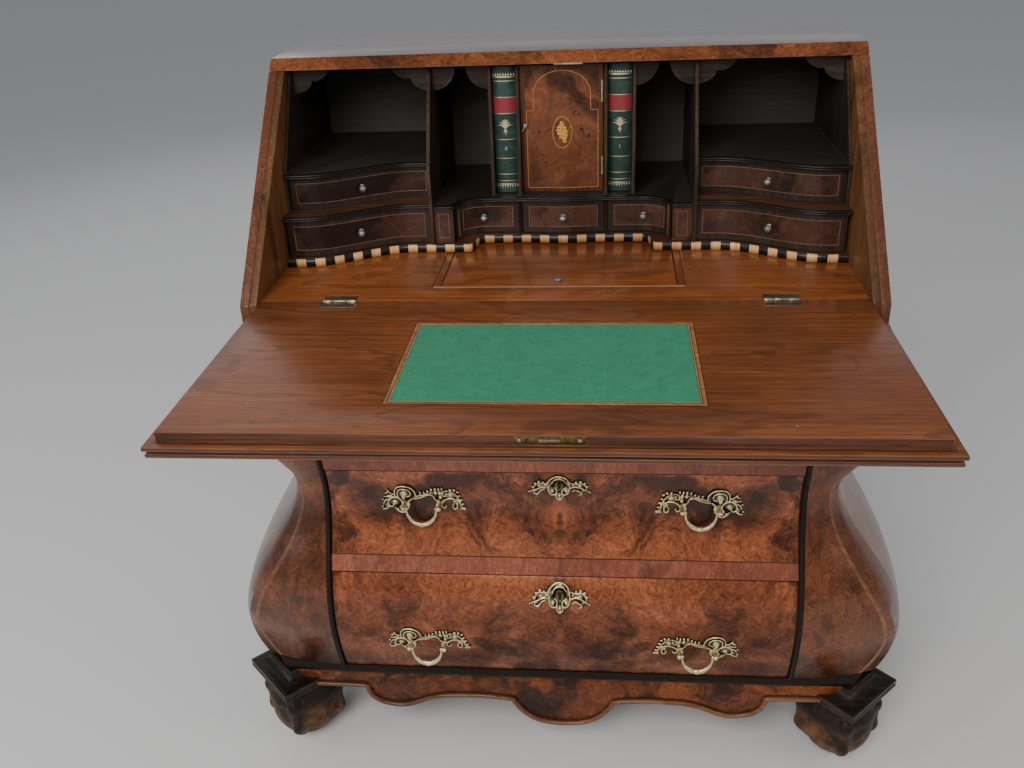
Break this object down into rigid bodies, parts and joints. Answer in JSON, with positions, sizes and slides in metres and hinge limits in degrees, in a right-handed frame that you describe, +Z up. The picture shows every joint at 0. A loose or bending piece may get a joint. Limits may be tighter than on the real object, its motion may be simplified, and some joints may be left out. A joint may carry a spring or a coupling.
{
  "type": "fall front secretaire",
  "caption": "Slant-top writing bureau: a hinged fall on pull-out lopers before a fitted gallery with a well, over a swelling bombe chest of long drawers on claw feet.",
  "frame": {"origin": "on the floor, under the middle of the whole object's box at rest, with the fall open", "axes": "+X to the right seen from the front, +Y towards the back, +Z up"},
  "size_m": [1.0904, 0.826, 1.061],
  "materials": {
    "walnut": "semi-gloss",
    "burr_walnut": "semi-gloss",
    "carcass_wood": "matt",
    "ebonised": "satin",
    "gallery_wood": "satin",
    "aged_brass": "aged",
    "green_baize": "matt",
    "green_leather": "satin"
  },
  "bodies": {
    "case": {"slant_end_left": "walnut", "slant_end_right": "walnut", "top_board": "walnut", "writing_bed": "walnut", "well_box": "carcass_wood", "frieze_panel": "burr_walnut", "upper_rail": "burr_walnut", "drawer_divider": "burr_walnut", "base_board": "ebonised", "apron": "burr_walnut", "case_back": "carcass_wood", "side_panel_left": "burr_walnut", "side_panel_right": "burr_walnut", "corner_stile_left": "burr_walnut", "corner_stile_right": "burr_walnut", "stile_bead_left": "ebonised", "stile_bead_right": "ebonised", "front_foot_left": "ebonised", "front_foot_right": "ebonised", "back_foot_left": "ebonised", "back_foot_right": "ebonised", "gallery_base": "gallery_wood", "gallery_section_left": "gallery_wood", "gallery_section_right": "gallery_wood", "gallery_centre": "gallery_wood", "hinge_bed_leaf_left": "aged_brass", "hinge_bed_leaf_right": "aged_brass"},
    "fall": {"fall_board": "walnut", "baize": "green_baize", "fall_lock": "aged_brass", "hinge_fall_leaf_left": "aged_brass", "hinge_fall_leaf_right": "aged_brass"},
    "loper_left": {"loper_left": "walnut"},
    "loper_right": {"loper_right": "walnut"},
    "upper_drawer": {"upper_drawer_front": "burr_walnut", "upper_drawer_box": "carcass_wood", "upper_escutcheon": "aged_brass", "upper_handle_plate_left": "aged_brass", "upper_handle_plate_right": "aged_brass"},
    "lower_drawer": {"lower_drawer_front": "burr_walnut", "lower_drawer_box": "carcass_wood", "lower_escutcheon": "aged_brass", "lower_handle_plate_left": "aged_brass", "lower_handle_plate_right": "aged_brass"},
    "upper_bail_left": {"upper_bail_left": "aged_brass"},
    "upper_bail_right": {"upper_bail_right": "aged_brass"},
    "lower_bail_left": {"lower_bail_left": "aged_brass"},
    "lower_bail_right": {"lower_bail_right": "aged_brass"},
    "well_lid": {"well_lid": "walnut"},
    "cupboard_door": {"cupboard_door": "burr_walnut"},
    "book_box_left": {"book_box_left": "green_leather"},
    "book_box_right": {"book_box_right": "green_leather"},
    "small_drawer_centre": {"small_drawer_centre": "gallery_wood"},
    "small_drawer_inner_left": {"small_drawer_inner_left": "gallery_wood"},
    "small_drawer_inner_right": {"small_drawer_inner_right": "gallery_wood"},
    "small_drawer_lower_left": {"small_drawer_lower_left": "gallery_wood"},
    "small_drawer_lower_right": {"small_drawer_lower_right": "gallery_wood"},
    "small_drawer_upper_left": {"small_drawer_upper_left": "gallery_wood"},
    "small_drawer_upper_right": {"small_drawer_upper_right": "gallery_wood"}
  },
  "joints": [
    {"name": "fall_hinge", "type": "hinge", "parent": "case", "child": "fall", "pos_m": [0, -0.043, 0.78], "axis": [1, 0, 0], "range_deg": [-134.6, 0]},
    {"name": "loper_left_slide", "type": "slide", "parent": "case", "child": "loper_left", "axis": [0, -1, 0], "range_m": [-0.23, 0]},
    {"name": "loper_right_slide", "type": "slide", "parent": "case", "child": "loper_right", "axis": [0, -1, 0], "range_m": [-0.23, 0]},
    {"name": "upper_drawer_slide", "type": "slide", "parent": "case", "child": "upper_drawer", "axis": [0, -1, 0], "range_m": [0, 0.3]},
    {"name": "lower_drawer_slide", "type": "slide", "parent": "case", "child": "lower_drawer", "axis": [0, -1, 0], "range_m": [0, 0.3]},
    {"name": "upper_bail_left_swing", "type": "hinge", "parent": "upper_drawer", "child": "upper_bail_left", "pos_m": [-0.203, -0.0779, 0.466], "axis": [-1, 0, 0], "range_deg": [0, 85]},
    {"name": "upper_bail_right_swing", "type": "hinge", "parent": "upper_drawer", "child": "upper_bail_right", "pos_m": [0.203, -0.0779, 0.466], "axis": [-1, 0, 0], "range_deg": [0, 85]},
    {"name": "lower_bail_left_swing", "type": "hinge", "parent": "lower_drawer", "child": "lower_bail_left", "pos_m": [-0.203, -0.1327, 0.247], "axis": [-1, 0, 0], "range_deg": [0, 85]},
    {"name": "lower_bail_right_swing", "type": "hinge", "parent": "lower_drawer", "child": "lower_bail_right", "pos_m": [0.203, -0.1327, 0.247], "axis": [-1, 0, 0], "range_deg": [0, 85]},
    {"name": "well_lid_slide", "type": "slide", "parent": "case", "child": "well_lid", "axis": [0, 1, 0], "range_m": [0, 0.15]},
    {"name": "cupboard_door_hinge", "type": "hinge", "parent": "case", "child": "cupboard_door", "pos_m": [0.0595, 0.2297, 0.945], "axis": [0, 0, 1], "range_deg": [0, 90]},
    {"name": "book_box_left_slide", "type": "slide", "parent": "case", "child": "book_box_left", "axis": [0, -1, 0], "range_m": [0, 0.1]},
    {"name": "book_box_right_slide", "type": "slide", "parent": "case", "child": "book_box_right", "axis": [0, -1, 0], "range_m": [0, 0.1]},
    {"name": "small_drawer_centre_slide", "type": "slide", "parent": "case", "child": "small_drawer_centre", "axis": [0, -1, 0], "range_m": [0, 0.12]},
    {"name": "small_drawer_inner_left_slide", "type": "slide", "parent": "case", "child": "small_drawer_inner_left", "axis": [0, -1, 0], "range_m": [0, 0.12]},
    {"name": "small_drawer_inner_right_slide", "type": "slide", "parent": "case", "child": "small_drawer_inner_right", "axis": [0, -1, 0], "range_m": [0, 0.12]},
    {"name": "small_drawer_lower_left_slide", "type": "slide", "parent": "case", "child": "small_drawer_lower_left", "axis": [0, -1, 0], "range_m": [0, 0.15]},
    {"name": "small_drawer_lower_right_slide", "type": "slide", "parent": "case", "child": "small_drawer_lower_right", "axis": [0, -1, 0], "range_m": [0, 0.15]},
    {"name": "small_drawer_upper_left_slide", "type": "slide", "parent": "case", "child": "small_drawer_upper_left", "axis": [0, -1, 0], "range_m": [0, 0.15]},
    {"name": "small_drawer_upper_right_slide", "type": "slide", "parent": "case", "child": "small_drawer_upper_right", "axis": [0, -1, 0], "range_m": [0, 0.15]}
  ]
}
